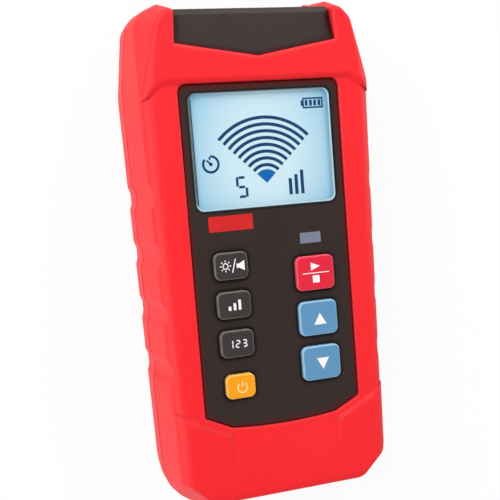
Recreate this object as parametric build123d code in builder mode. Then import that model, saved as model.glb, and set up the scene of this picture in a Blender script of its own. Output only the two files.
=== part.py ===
from build123d import *
import os
from math import atan2, cos, degrees, radians, tan

os.makedirs("parts", exist_ok=True)

# The instrument lies on its back: +Z out of its face, +Y towards the jack end, sizes in millimetres.

# Overall form
length = 188.0
shoulder_width = 91.0
heel_width = 85.8
depth = 42.5
parting_z = 16.0
front_draft = 5.0
rear_draft = 2.5
front_round = 5.2
rear_round = 4.0

# Corners of the plan outline
ear_width = 66.0
cheek_inset = 3.4
cheek_drop = 5.4
shoulder_drop = 31.8
heel_rise = 14.5
toe_inset = 2.6
toe_rise = 0.8
ear_radius = 9.0
cheek_radius = 8.5
shoulder_radius = 30.0
heel_radius = 30.0
toe_radius = 10.0
foot_radius = 300.0
ear_tip_cut = 2.6

# Steeper bevel that takes off the front corners at both ends, as distances of its outline outside the plan
bevel_draft = 18.0
bevel_foot_out = 4.2
bevel_toe_inset = 9.5
bevel_heel_out = 4.2
bevel_heel_rise = 9.0
bevel_grip_out = 11.0
bevel_grip_rise = 70.0
bevel_shoulder_out = 5.2
bevel_cheek_out = 2.4
bevel_ear_out = 3.4
bevel_top_out = 3.1
bevel_radius = 14.0
bevel_round = 3.0
bevel_above = 0.6

# Walls
jacket_wall = 2.4
case_wall = 2.2
bond_gap = 0.05
seat_gap = 0.05
seam_width = 1.1
seam_depth = 0.6

# Raised crown at the jack end and raised foot at the other
crown_rise = 1.2
crown_drop = 29.6
crown_width = 70.8
crown_slope = 0.58
step_run = 2.0
foot_edge_rise = 36.2
foot_edge_half = 38.5
foot_valley_half = 22.4
foot_valley_rise = 28.2
foot_valley_end_half = 21.1
foot_valley_end_rise = 15.5
edge_round = 0.6

# Grip notches along each side
notch_count = 4
notch_first_drop = 69.9
notch_last_rise = 54.2
notch_length = 9.4
notch_slope = 2.4
notch_depth = 1.2
notch_radius = 4.5
notch_flare = 3.0
notch_lip = 0.05

# Key panel
panel_width = 61.0
panel_drop = 31.3
panel_foot_rise = 30.5
panel_radius = 3.2
panel_corner_radius = 1.2
panel_recess = 0.8
panel_gap = 0.35
panel_corner_rise = 6.1
panel_corner_inset = 10.0
panel_bow = 1.2

# Window and display behind it
window_width = 54.4
window_height = 42.4
window_drop = 3.1
window_radius = 3.0
window_thick = 1.0
window_gap = 0.1
window_ledge = 0.8
window_shelf = 0.6
glass_margin = 0.8
glass_gap = 0.1
glass_thick = 2.2
backlight_thick = 6.4
strip_width = 2.6
frame_wall = 1.6

# Keys
wide_key_width = 15.1
wide_key_height = 12.9
wide_key_count = 3
grey_key_width = 12.8
grey_key_height = 10.0
grey_key_count = 3
power_key_width = 11.2
power_key_height = 9.0
right_column_x = 16.1
left_column_x = -16.3
key_radius = 2.3
key_rise = 1.5
key_edge = 0.8
key_gap = 0.45
key_travel = 1.1
key_flange = 1.2
key_flange_thick = 1.1
key_flange_gap = 0.25
key_stem_width = 5.0
key_stop_gap = 0.15
mat_thick = 1.0
mat_margin = 2.5
mat_collar = 1.2
mat_stem_gap = 0.4

# Gaps between the flanges of one column, from the display frame down; they share out the panel's free length
lens_row_gap = 4.6
wide_row_gap = 2.7
wide_key_gap = 1.75
wide_foot_gap = 13.15
grey_row_gap = 8.65
grey_key_gap = 1.9
power_key_gap = 4.0
power_foot_gap = 10.6

# Indicator
lens_x = 15.5
lens_width = 8.2
lens_height = 4.0
lens_gap = 0.1
lens_flange = 0.9
lens_flange_thick = 1.0
lamp_radius = 1.5
lamp_height = 3.6

# Circuit board and what it carries
board_thick = 1.6
board_side_gap = 1.6
board_top_gap = 1.9
board_foot_gap = 21.5
board_radius = 3.0
board_screw_inset = 3.6
board_screw_radius = 1.25
board_screw_head_radius = 2.6
board_screw_head = 1.7
board_screw_grip = 5.0
board_boss_radius = 3.0
screw_gap = 0.05
chip_size = 12.0
chip_thick = 1.6
chip_x = 18.0
chip_inset = 57.7
core_width = 18.0
core_length = 16.0
core_height = 11.0
core_limb = 4.0
core_x = -20.0
core_inset = 27.7
winding_gap = 0.1
capacitor_radius = 3.15
capacitor_height = 8.0
capacitor_count = 3
capacitor_pitch = 8.0
capacitor_x = -28.0
capacitor_inset = 55.7
buzzer_radius = 6.0
buzzer_height = 5.0
buzzer_port_radius = 1.0
buzzer_x = 22.0
buzzer_inset = 35.7
fuse_radius = 2.5
fuse_length = 20.0
fuse_inset = 11.7
fuse_drop = 4.0
clip_width = 5.0
clip_thick = 0.5

# Jack cap and its two 4 mm jacks
cap_width = 60.8
cap_corner_drop = 17.3
cap_tip_drop = 22.4
cap_top_inset = 1.0
cap_gap = 0.15
cap_bevel = 0.7
cap_bevel_angle = 45.0
cap_wall = 2.2
cap_front_drop = 0.5
cap_slope_drop = 4.0
cap_back_rise = 1.0
cap_end_inset = 0.2
cap_end_slope = 4.6
cap_round = 3.6
cap_lug = 2.4
jack_pitch = 19.0
jack_drop = 7.1
jack_bore_radius = 2.0
jack_radius = 3.0
jack_bore_depth = 17.0
jack_recess = 2.9
jack_tail = 5.6
jack_tab_width = 3.0
jack_tab_thick = 0.8
well_radius = 6.3
well_bore_radius = 4.6
well_base = 2.5
well_gap = 0.1
well_flange_radius = 7.7
well_flange_thick = 2.0
well_recess = 1.0

# Battery and its box
battery_length = 48.5
battery_width = 26.5
battery_thick = 17.5
battery_slack = 0.4
battery_edge = 2.0
battery_foot_gap = 31.7
snap_pitch = 12.7
snap_height = 3.0
snap_stud_radius = 2.85
snap_crown_radius = 4.3
snap_fit = 0.15
snap_plate_thick = 2.0
snap_plate_width = 25.0
snap_plate_height = 13.0
lead_room = 5.0
lead_radius = 0.6
lead_sides = 6
lead_bend = 1.8
lead_pitch = 8.0
box_wall = 1.5

# Back of the rear case
back_recess = 0.8
back_width = 68.0
back_top_drop = 26.0
back_foot_rise = 20.0
back_radius = 6.0
door_thick = 2.2
door_lap = 2.6
door_gap = 0.25
door_radius = 2.5
door_foot_lap = 8.2
door_tab_width = 6.0
door_tab_pitch = 16.0
door_tab_thick = 1.3
door_tab_reach = 1.1
door_screw_inset = 4.6
door_screw_radius = 1.45
door_screw_head_radius = 2.8
door_screw_head = 1.6
door_screw_grip = 8.0
door_boss_radius = 3.4
thumb_rib_count = 4
thumb_rib_pitch = 2.4
thumb_rib_width = 18.0
thumb_rib_depth = 0.5

# Case screws, from the back into the front case
case_screw_radius = 1.45
case_screw_head_radius = 2.8
case_screw_head = 2.0
case_screw_grip = 9.0
case_screw_seat_z = 9.0
case_boss_radius = 3.7
case_hole_gap = 0.5
crown_screw_x = 34.2
crown_screw_drop = 14.0
foot_screw_x = 31.5
foot_screw_rise = 12.5

# Levels and edges that follow from the sizes above
top_y = length / 2
foot_y = -length / 2
face_z = depth - crown_rise
panel_z = face_z - panel_recess
case_inset = jacket_wall + bond_gap
room_inset = case_inset + case_wall
wall_under_z = face_z - room_inset
room_floor_z = room_inset
shoulder_y = top_y - shoulder_drop
heel_y = foot_y + heel_rise
beyond = max(length, shoulder_width)
notch_pitch = (length - notch_first_drop - notch_last_rise) / (notch_count - 1)

panel_top_y = top_y - panel_drop
panel_foot_y = foot_y + panel_foot_rise
window_y = panel_top_y - window_drop - window_height / 2
window_z = panel_z - window_thick
glass_width = window_width + 2 * glass_margin
light_height = window_height + 2 * glass_margin
glass_height = light_height + strip_width + 2 * seat_gap
glass_y = window_y - (glass_height - light_height) / 2
strip_y = glass_y - glass_height / 2 + strip_width / 2
frame_foot_y = glass_y - glass_height / 2 - seat_gap - frame_wall
glass_top_z = window_z - window_shelf - 2 * seat_gap
glass_z = glass_top_z - glass_thick
backlight_z = glass_z - seat_gap - backlight_thick
board_top_z = backlight_z - seat_gap
board_z = board_top_z - board_thick

key_flange_top_z = wall_under_z - key_flange_gap
key_flange_z = key_flange_top_z - key_flange_thick
key_top_z = panel_z + key_rise
key_stem_z = board_top_z + key_travel + key_stop_gap
collar_top_z = key_flange_z - key_travel - key_stop_gap
jack_z = board_z - jack_drop

board_level_half = heel_width / 2 - (board_top_z - parting_z) * tan(radians(front_draft))
board_half = board_level_half - room_inset - board_side_gap
board_top_y = top_y - cap_tip_drop - board_top_gap
board_foot_y = foot_y + board_foot_gap
board_y = (board_top_y + board_foot_y) / 2
board_length = board_top_y - board_foot_y
chip_y = board_top_y - chip_inset
core_y = board_top_y - core_inset
capacitor_y = board_top_y - capacitor_inset
buzzer_y = board_top_y - buzzer_inset
fuse_y = board_top_y - fuse_inset

crown_screws = [(side * crown_screw_x, top_y - crown_screw_drop) for side in (-1, 1)]
foot_screws = [(side * foot_screw_x, foot_y + foot_screw_rise) for side in (-1, 1)]
case_screw_points = crown_screws + foot_screws
board_screw_points = [(side * (board_half - board_screw_inset), end)
                      for side in (-1, 1)
                      for end in (board_top_y - board_screw_inset, board_foot_y + board_screw_inset)]
lug_z = parting_z - seat_gap - cap_lug

door_top_z = back_recess + door_thick
battery_z = door_top_z + battery_slack
battery_mid_z = battery_z + battery_thick / 2
battery_foot_y = foot_y + battery_foot_gap
battery_top_y = battery_foot_y + battery_length
snap_plate_y = battery_top_y + snap_height + seat_gap
box_foot_y = battery_foot_y - battery_slack
box_top_y = snap_plate_y + snap_plate_thick + lead_room
box_half = battery_width / 2 + battery_slack
box_top_z = battery_z + battery_thick + battery_slack
box_y = (box_top_y + box_foot_y) / 2
box_length = box_top_y - box_foot_y
door_foot_y = box_foot_y - door_foot_lap
door_top_y = box_top_y + door_lap
door_y = (door_top_y + door_foot_y) / 2
door_width = 2 * (box_half + door_lap)
door_length = door_top_y - door_foot_y
door_screw_y = door_foot_y + door_screw_inset
back_y = (foot_y + back_foot_rise + top_y - back_top_drop) / 2
back_length = length - back_top_drop - back_foot_rise

cap_end_y = top_y - cap_end_inset
cap_front_z = depth - cap_front_drop
cap_front_end_z = cap_front_z - cap_slope_drop
cap_tip_y = top_y - cap_tip_drop
cap_start_y = cap_tip_y - 2 * cap_wall
front_fall = cap_slope_drop / (cap_end_y - cap_end_slope - cap_tip_y)
cap_start_z = cap_front_z + front_fall * (cap_tip_y - cap_start_y)
end_lean = cap_end_slope / (cap_front_end_z - cap_back_rise)
well_mouth_y = cap_end_y - end_lean * (jack_z - cap_back_rise) - well_recess
jack_mouth_y = well_mouth_y - jack_recess
jack_floor_y = jack_mouth_y - jack_bore_depth
well_foot_y = jack_floor_y - well_base
jack_tail_y = well_foot_y - jack_tail
cap_flange_y = cap_end_y - end_lean * (jack_z + well_flange_radius - cap_back_rise)
cap_inside_y = cap_flange_y - cap_wall / cos(atan2(end_lean, 1))
well_flange_y = cap_inside_y - seat_gap - well_flange_thick

rows_length = frame_foot_y - panel_foot_y
wide_row = wide_key_height + 2 * key_flange
grey_row = grey_key_height + 2 * key_flange
power_row = power_key_height + 2 * key_flange
lens_row = lens_height + 2 * lens_flange
right_room = rows_length - lens_row - wide_key_count * wide_row
right_share = right_room / (lens_row_gap + wide_row_gap + (wide_key_count - 1) * wide_key_gap + wide_foot_gap)
left_room = rows_length - grey_key_count * grey_row - power_row
left_share = left_room / (grey_row_gap + (grey_key_count - 1) * grey_key_gap + power_key_gap + power_foot_gap)
lens_y = frame_foot_y - right_share * lens_row_gap - lens_row / 2
wide_key_y = lens_y - (lens_row + wide_row) / 2 - right_share * wide_row_gap
wide_pitch = wide_row + right_share * wide_key_gap
grey_key_y = frame_foot_y - left_share * grey_row_gap - grey_row / 2
grey_pitch = grey_row + left_share * grey_key_gap
power_key_y = panel_foot_y + left_share * power_foot_gap + power_row / 2
keys = {
    "light_key": (left_column_x, grey_key_y, grey_key_width, grey_key_height),
    "level_key": (left_column_x, grey_key_y - grey_pitch, grey_key_width, grey_key_height),
    "code_key": (left_column_x, grey_key_y - 2 * grey_pitch, grey_key_width, grey_key_height),
    "power_key": (left_column_x, power_key_y, power_key_width, power_key_height),
    "start_key": (right_column_x, wide_key_y, wide_key_width, wide_key_height),
    "up_key": (right_column_x, wide_key_y - wide_pitch, wide_key_width, wide_key_height),
    "down_key": (right_column_x, wide_key_y - 2 * wide_pitch, wide_key_width, wide_key_height),
}
key_points = [(x, y) for x, y, width, height in keys.values()]


def keep(builder, name):
    """Name a finished piece and write it."""
    builder.part.label = name
    export_step(builder.part, f"parts/{name}.step")


def side_x(y):
    """Half width of the plan outline between shoulder and heel, at the parting line."""
    share = (shoulder_y - y) / (shoulder_y - heel_y)
    return shoulder_width / 2 + share * (heel_width - shoulder_width) / 2


def body_outline(grow):
    """Plan outline at the parting line, grown outwards by the given amount."""
    toe_x = heel_width / 2 - toe_inset
    foot_lean = atan2(toe_rise, toe_x)
    foot_tip_y = foot_y - foot_radius * (1 / cos(foot_lean) - 1)
    right = [
        (toe_x, foot_y + toe_rise),
        (heel_width / 2, heel_y),
        (shoulder_width / 2, shoulder_y),
        (shoulder_width / 2 - cheek_inset, top_y - cheek_drop),
        (ear_width / 2, top_y),
    ]
    radii = [toe_radius, heel_radius, shoulder_radius, cheek_radius, ear_radius]
    left = [(-x, y) for x, y in reversed(right)]
    with BuildSketch(mode=Mode.PRIVATE) as plan:
        with BuildLine():
            FilletPolyline((0, foot_tip_y), *right, *left, close=True,
                           radius=[foot_radius] + radii + radii[::-1])
        make_face()
        if grow:
            offset(amount=grow)
    return plan.sketch


def bevel_outline(grow):
    """Plan outline of the corner bevel at the parting line, grown outwards by the given amount."""
    right = [
        (heel_width / 2 - bevel_toe_inset, foot_y - bevel_foot_out),
        (heel_width / 2 + bevel_heel_out, foot_y + bevel_heel_rise),
        (shoulder_width / 2 + bevel_grip_out, foot_y + bevel_grip_rise),
        (shoulder_width / 2 + bevel_shoulder_out, shoulder_y),
        (shoulder_width / 2 - cheek_inset + bevel_cheek_out, top_y - cheek_drop),
        (ear_width / 2 + bevel_ear_out, top_y + bevel_top_out),
    ]
    left = [(-x, y) for x, y in reversed(right)]
    with BuildSketch(mode=Mode.PRIVATE) as plan:
        with BuildLine():
            FilletPolyline(*right, *left, radius=bevel_radius, close=True)
        make_face()
        if grow:
            offset(amount=grow)
    return plan.sketch


def drafted(outline, height, draft, edge):
    """Block drawn from the parting line with a draft, its far edge rounded where a radius is given."""
    with BuildPart(mode=Mode.PRIVATE) as block:
        with BuildSketch(Plane.XY.offset(parting_z)):
            add(outline)
        extrude(amount=height, taper=draft)
        if edge:
            far_face = block.faces().sort_by_distance((0, 0, parting_z + height))[0]
            fillet(far_face.edges(), edge)
    return block.part


def front_form(inset, top_z=face_z):
    """Front half set in from the outside: drafted sides, steeper corner bevels, rounded on the skin only."""
    height = top_z - inset - parting_z
    side_round = 0 if inset else front_round
    corner_round = 0 if inset else bevel_round
    with BuildPart(mode=Mode.PRIVATE) as form:
        add(drafted(body_outline(-inset), height, front_draft, side_round))
        add(drafted(bevel_outline(-inset), height + bevel_above, bevel_draft, corner_round),
            mode=Mode.INTERSECT)
    return form.part


def rear_form(inset):
    """Rear half set in from the outside, drafted, with a back edge rounded on the skin only."""
    return drafted(body_outline(-inset), inset - parting_z, rear_draft, 0 if inset else rear_round)


def panel_outline(inset):
    """Key panel: square top corners with a small radius, cut lower corners and a bowed lower edge."""
    half = panel_width / 2
    cut_y = panel_foot_y + panel_corner_rise
    low_x = half - panel_corner_inset
    low_y = panel_foot_y + panel_bow
    with BuildSketch(mode=Mode.PRIVATE) as plan:
        with BuildLine():
            FilletPolyline((low_x, low_y), (half, cut_y), (half, panel_top_y), (-half, panel_top_y),
                           (-half, cut_y), (-low_x, low_y),
                           radius=[panel_corner_radius, panel_radius, panel_radius, panel_corner_radius])
            ThreePointArc((-low_x, low_y), (0, panel_foot_y), (low_x, low_y))
        make_face()
        if inset:
            offset(amount=-inset)
    return plan.sketch


def cap_outline(inset):
    """Plan of the jack cap: a shallow point towards the keys, sides that close in a little."""
    half = cap_width / 2
    end_half = half - cap_top_inset
    corner_y = top_y - cap_corner_drop
    with BuildSketch(mode=Mode.PRIVATE) as plan:
        with BuildLine():
            Polyline((half, corner_y), (end_half, top_y), (end_half, beyond), (-end_half, beyond),
                     (-end_half, top_y), (-half, corner_y), (0, cap_tip_y), close=True)
        make_face()
        if inset:
            offset(amount=-inset, kind=Kind.INTERSECTION)
    return plan.sketch


def cap_profile(inset):
    """Side view of the jack cap: front face falling towards a leaning end face."""
    with BuildSketch(Plane.YZ, mode=Mode.PRIVATE) as view:
        with BuildLine():
            FilletPolyline((cap_start_y, cap_back_rise), (cap_end_y, cap_back_rise),
                           (cap_end_y - cap_end_slope, cap_front_end_z), (cap_start_y, cap_start_z),
                           radius=cap_round)
            Line((cap_start_y, cap_start_z), (cap_start_y, cap_back_rise))
        make_face()
        if inset:
            offset(amount=-inset)
    return view.sketch


def grip_notches(side, grow):
    """Notch profiles of one side, grown by an amount: shallow bites whose ends flare out into the wall."""
    with BuildSketch(mode=Mode.PRIVATE) as plan:
        for step in range(notch_count):
            middle = top_y - notch_first_drop - step * notch_pitch
            top = middle + notch_length / 2
            low = middle - notch_length / 2
            floor_top = top - notch_slope
            floor_low = low + notch_slope
            mouth_top = (side * (side_x(top) + notch_lip), top)
            mouth_low = (side * (side_x(low) + notch_lip), low)
            flare_top = (side * (side_x(top + notch_flare) + notch_lip), top + notch_flare)
            flare_low = (side * (side_x(low - notch_flare) + notch_lip), low - notch_flare)
            with BuildLine():
                FilletPolyline(flare_top, mouth_top,
                               (side * (side_x(floor_top) - notch_depth), floor_top),
                               (side * (side_x(floor_low) - notch_depth), floor_low),
                               mouth_low, flare_low, radius=notch_radius)
                Polyline(flare_low, (flare_low[0] + side * notch_depth, flare_low[1]),
                         (flare_top[0] + side * notch_depth, flare_top[1]), flare_top)
            make_face()
        if grow:
            offset(amount=grow)
    return plan.sketch


def jack_plane(side, y):
    """Plane across one jack, facing out of the jack end."""
    return Plane(origin=(side * jack_pitch / 2, y, jack_z), x_dir=(1, 0, 0), z_dir=(0, 1, 0))


def battery_plane(y):
    """Plane across the battery, facing its snaps."""
    return Plane(origin=(0, y, battery_mid_z), x_dir=(1, 0, 0), z_dir=(0, 1, 0))


# Seam ring that shows the parting line round both jackets
with BuildPart() as seam:
    with BuildSketch(Plane.XY.offset(parting_z - seam_width / 2)):
        add(body_outline(seam_depth))
        add(body_outline(-seam_depth), mode=Mode.SUBTRACT)
        for side in (-1, 1):
            add(grip_notches(side, seam_depth))
    extrude(amount=seam_width)

# Raised crown and foot, with sloped steps
with BuildPart() as bumpers:
    add(front_form(0, top_z=depth))
    crown_y = top_y - crown_drop
    crown_side_y = crown_y - crown_slope * (beyond - crown_width / 2)
    foot_slope = (foot_edge_rise - foot_valley_rise) / (foot_edge_half - foot_valley_half)
    foot_side_y = foot_y + foot_edge_rise + foot_slope * (beyond - foot_edge_half)
    valley_y = foot_y + foot_valley_rise
    valley_end_y = foot_y + foot_valley_end_rise
    with BuildSketch(mode=Mode.PRIVATE) as steps:
        with BuildLine():
            Polyline((-beyond, crown_side_y), (-crown_width / 2, crown_y), (crown_width / 2, crown_y),
                     (beyond, crown_side_y), (beyond, beyond), (-beyond, beyond), close=True)
        make_face()
        with BuildLine():
            Polyline((-beyond, foot_side_y), (-foot_valley_half, valley_y),
                     (-foot_valley_end_half, valley_end_y), (foot_valley_end_half, valley_end_y),
                     (foot_valley_half, valley_y), (beyond, foot_side_y),
                     (beyond, -beyond), (-beyond, -beyond), close=True)
        make_face()
        offset(amount=step_run, kind=Kind.INTERSECTION)
    with BuildPart(mode=Mode.PRIVATE) as blocks:
        with BuildSketch(Plane.XY.offset(parting_z)):
            add(steps.sketch)
        extrude(amount=face_z - parting_z)
        with BuildSketch(Plane.XY.offset(face_z)):
            add(steps.sketch)
        extrude(amount=crown_rise, taper=degrees(atan2(step_run, crown_rise)))
    add(blocks.part, mode=Mode.INTERSECT)
    with BuildSketch(Plane.XY.offset(parting_z)):
        add(panel_outline(0))
    extrude(amount=depth, mode=Mode.SUBTRACT)
    # The valley between the foot bumpers runs out in a ramp
    with BuildSketch(Plane.YZ):
        with BuildLine():
            Polyline((valley_y, face_z), (valley_end_y, depth), (valley_end_y, wall_under_z),
                     (valley_y, wall_under_z), close=True)
        make_face()
    extrude(amount=foot_valley_half, both=True)

# Soft jacket of the front half
with BuildPart() as front_jacket:
    add(front_form(0))
    with BuildSketch(Plane.XY.offset(parting_z)):
        add(panel_outline(0))
    extrude(amount=depth, mode=Mode.SUBTRACT)
    lip_edges = front_jacket.faces().sort_by(Axis.Z)[-1].inner_wires().edges()
    fillet(lip_edges, edge_round)
    add(bumpers.part)
    add(front_form(jacket_wall), mode=Mode.SUBTRACT)
    with BuildSketch(Plane.XY.offset(parting_z)):
        add(cap_outline(0))
    extrude(amount=depth, mode=Mode.SUBTRACT)
    with BuildSketch(Plane.XY.offset(depth)):
        add(cap_outline(-cap_bevel))
    extrude(amount=-cap_bevel, taper=cap_bevel_angle, mode=Mode.SUBTRACT)
    # Each ear's inner tip is cut off at a slant that leans with the end wall
    ear_inner_x = cap_width / 2 - cap_top_inset
    with BuildSketch(Plane.XY.offset(parting_z)):
        for side in (-1, 1):
            with BuildLine():
                Polyline((side * (ear_inner_x - ear_tip_cut), top_y - 2 * ear_tip_cut),
                         (side * (ear_inner_x + 2 * ear_tip_cut), top_y + ear_tip_cut),
                         (side * (ear_inner_x - ear_tip_cut), top_y + ear_tip_cut), close=True)
            make_face()
    extrude(amount=depth, dir=(0, -tan(radians(bevel_draft / 2)), 1), mode=Mode.SUBTRACT)
    add(seam.part, mode=Mode.SUBTRACT)
    for side in (-1, 1):
        with BuildSketch(Plane.XY.offset(parting_z)):
            add(grip_notches(side, 0))
        extrude(amount=depth, dir=(-side * tan(radians(front_draft)), 0, 1), mode=Mode.SUBTRACT)
keep(front_jacket, "front_jacket")

# Soft jacket of the rear half, open over the flat of the rear case
with BuildPart() as rear_jacket:
    add(rear_form(0))
    add(rear_form(jacket_wall), mode=Mode.SUBTRACT)
    with BuildSketch():
        add(cap_outline(0))
        with Locations((0, back_y)):
            RectangleRounded(back_width, back_length, back_radius)
        with Locations(*case_screw_points):
            Circle(case_screw_head_radius + 2 * case_hole_gap)
    extrude(amount=parting_z, mode=Mode.SUBTRACT)
    add(seam.part, mode=Mode.SUBTRACT)
    for side in (-1, 1):
        with BuildSketch(Plane.XY.offset(parting_z)):
            add(grip_notches(side, 0))
        extrude(amount=depth, dir=(-side * tan(radians(rear_draft)), 0, -1), mode=Mode.SUBTRACT)
keep(rear_jacket, "rear_jacket")

# Hard front case: a shell whose raised panel fills the jacket's opening
with BuildPart() as front_room:
    add(front_form(room_inset))
    with BuildSketch(Plane.XY.offset(parting_z)):
        with Locations(*case_screw_points):
            Circle(case_boss_radius)
    extrude(amount=depth, mode=Mode.SUBTRACT)
    with BuildSketch(Plane.XY.offset(board_top_z + seat_gap)):
        with Locations(*board_screw_points):
            Circle(board_boss_radius)
    extrude(amount=depth, mode=Mode.SUBTRACT)

with BuildPart() as front_case:
    add(front_form(case_inset))
    add(front_room.part, mode=Mode.SUBTRACT)
    with BuildSketch(Plane.XY.offset(wall_under_z)):
        add(panel_outline(panel_gap))
    extrude(amount=panel_z - wall_under_z)
    with BuildSketch(Plane.XY.offset(parting_z)):
        add(cap_outline(0))
    extrude(amount=depth, mode=Mode.SUBTRACT)
    with BuildSketch(Plane.XY.offset(window_z - seat_gap)):
        with Locations((0, window_y)):
            RectangleRounded(window_width + 2 * window_gap, window_height + 2 * window_gap, window_radius)
    extrude(amount=depth, mode=Mode.SUBTRACT)
    with BuildSketch(Plane.XY.offset(glass_z)):
        with Locations((0, glass_y)):
            Rectangle(glass_width + 2 * glass_gap, glass_height + 2 * glass_gap)
    extrude(amount=glass_top_z + seat_gap - glass_z, mode=Mode.SUBTRACT)
    with BuildSketch(Plane.XY.offset(glass_z)):
        with Locations((0, window_y)):
            RectangleRounded(window_width - 2 * window_ledge, window_height - 2 * window_ledge,
                             window_radius - window_ledge)
        for x, y, width, height in keys.values():
            with Locations((x, y)):
                RectangleRounded(width + 2 * key_gap, height + 2 * key_gap, key_radius + key_gap)
        with Locations((lens_x, lens_y)):
            Rectangle(lens_width + 2 * lens_gap, lens_height + 2 * lens_gap)
    extrude(amount=depth, mode=Mode.SUBTRACT)
    with BuildSketch(Plane.XY.offset(parting_z)):
        with Locations(*case_screw_points):
            Circle(case_screw_radius + screw_gap)
    extrude(amount=case_screw_grip, mode=Mode.SUBTRACT)
    with BuildSketch(Plane.XY.offset(board_top_z)):
        with Locations(*board_screw_points):
            Circle(board_screw_radius + screw_gap)
    extrude(amount=board_screw_grip, mode=Mode.SUBTRACT)
keep(front_case, "front_case")

# Hard rear case with the screw towers and the battery box
with BuildPart() as rear_room:
    add(rear_form(room_inset))
    with BuildSketch():
        with Locations(*foot_screws):
            Circle(case_boss_radius)
    extrude(amount=parting_z, mode=Mode.SUBTRACT)
    with BuildSketch():
        with Locations(*crown_screws):
            Circle(case_boss_radius)
    extrude(amount=lug_z - seat_gap, mode=Mode.SUBTRACT)

with BuildPart() as rear_case:
    add(rear_form(case_inset))
    add(rear_room.part, mode=Mode.SUBTRACT)
    with BuildSketch(Plane.XY.offset(back_recess)):
        with Locations((0, back_y)):
            RectangleRounded(back_width - 2 * panel_gap, back_length - 2 * panel_gap, back_radius - panel_gap)
    extrude(amount=room_floor_z - back_recess)
    with BuildSketch():
        add(cap_outline(0))
    extrude(amount=parting_z, mode=Mode.SUBTRACT)
    with BuildSketch(Plane.XY.offset(door_top_z)):
        with Locations((0, box_y)):
            Rectangle(2 * (box_half + box_wall), box_length + 2 * box_wall)
    extrude(amount=box_top_z + box_wall - door_top_z)
    with BuildSketch(Plane.XY.offset(door_top_z)):
        with Locations((0, door_screw_y)):
            Circle(door_boss_radius)
    extrude(amount=door_screw_grip)
    with BuildSketch():
        with Locations((0, box_y)):
            Rectangle(2 * box_half, box_length)
    extrude(amount=box_top_z, mode=Mode.SUBTRACT)
    with BuildSketch():
        with Locations((0, door_y)):
            RectangleRounded(door_width + 2 * door_gap, door_length + 2 * door_gap, door_radius + door_gap)
    extrude(amount=door_top_z + seat_gap, mode=Mode.SUBTRACT)
    with BuildSketch(Plane.XY.offset(box_top_z)):
        with Locations((0, box_top_y - lead_room / 2)):
            Rectangle(lead_pitch + lead_room, lead_room)
    extrude(amount=box_wall, mode=Mode.SUBTRACT)
    with BuildSketch(Plane.XY.offset(room_floor_z)):
        with Locations(*[(side * door_tab_pitch / 2, box_top_y) for side in (-1, 1)]):
            Rectangle(door_tab_width + 2 * door_gap, 2 * box_wall)
    extrude(amount=door_tab_thick + 2 * door_gap, mode=Mode.SUBTRACT)
    with BuildSketch(Plane.XY.offset(door_top_z)):
        with Locations((0, door_screw_y)):
            Circle(door_screw_radius + screw_gap)
    extrude(amount=door_screw_grip, mode=Mode.SUBTRACT)
    with BuildSketch():
        with Locations(*case_screw_points):
            Circle(case_screw_head_radius + case_hole_gap)
    extrude(amount=case_screw_seat_z, mode=Mode.SUBTRACT)
    with BuildSketch():
        with Locations(*case_screw_points):
            Circle(case_screw_radius + screw_gap)
    extrude(amount=parting_z, mode=Mode.SUBTRACT)
keep(rear_case, "rear_case")

# Jack cap, clamped by a lug under each crown screw
with BuildPart() as terminal_cap:
    extrude(cap_profile(0), amount=cap_width, both=True)
    with BuildSketch():
        add(cap_outline(cap_gap))
    extrude(amount=depth, mode=Mode.INTERSECT)
    room_half = cap_width / 2 - cap_top_inset - cap_gap - cap_wall
    extrude(cap_profile(cap_wall), amount=room_half, both=True, mode=Mode.SUBTRACT)
    for side in (-1, 1):
        with BuildSketch(jack_plane(side, jack_floor_y)):
            Circle(well_radius + well_gap)
        extrude(amount=length, mode=Mode.SUBTRACT)
    with BuildSketch(Plane.XY.offset(lug_z)):
        for x, y in crown_screws:
            with Locations((x - x / abs(x) * case_boss_radius, y)):
                Rectangle(2 * case_boss_radius, 2 * case_boss_radius)
            with Locations((x, y)):
                Circle(case_boss_radius)
                Circle(case_screw_radius + case_hole_gap, mode=Mode.SUBTRACT)
    extrude(amount=cap_lug)
keep(terminal_cap, "terminal_cap")

# The two jacks: an insulating well in the cap and a contact tube in the well
for side, name in ((-1, "live"), (1, "ground")):
    with BuildPart() as well:
        with BuildSketch(jack_plane(side, well_foot_y)):
            Circle(well_radius)
            Circle(jack_radius + seat_gap, mode=Mode.SUBTRACT)
        extrude(amount=well_base)
        with BuildSketch(jack_plane(side, jack_floor_y)):
            Circle(well_radius)
            Circle(well_bore_radius, mode=Mode.SUBTRACT)
        extrude(amount=well_mouth_y - jack_floor_y)
        with BuildSketch(jack_plane(side, well_flange_y)):
            Circle(well_flange_radius)
            Circle(well_bore_radius, mode=Mode.SUBTRACT)
        extrude(amount=well_flange_thick)
    keep(well, f"{name}_well")

    with BuildPart() as jack:
        with BuildSketch(jack_plane(side, jack_tail_y)):
            Circle(jack_radius)
        extrude(amount=jack_mouth_y - jack_tail_y)
        with BuildSketch(jack_plane(side, jack_floor_y)):
            Circle(jack_bore_radius)
        extrude(amount=jack_bore_depth, mode=Mode.SUBTRACT)
        with BuildSketch(Plane.XY.offset(jack_z)):
            with Locations((side * jack_pitch / 2, jack_tail_y + jack_tab_thick / 2)):
                Rectangle(jack_tab_width, jack_tab_thick)
        extrude(amount=board_z - seat_gap - jack_z)
    keep(jack, f"{name}_jack")

# Window, liquid crystal glass, backlight, contact strip and the frame round them
with BuildPart() as display_window:
    with BuildSketch(Plane.XY.offset(window_z)):
        with Locations((0, window_y)):
            RectangleRounded(window_width, window_height, window_radius)
    extrude(amount=window_thick)
    chamfer(display_window.faces().sort_by(Axis.Z)[-1].edges(), window_ledge / 2)
keep(display_window, "display_window")

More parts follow.
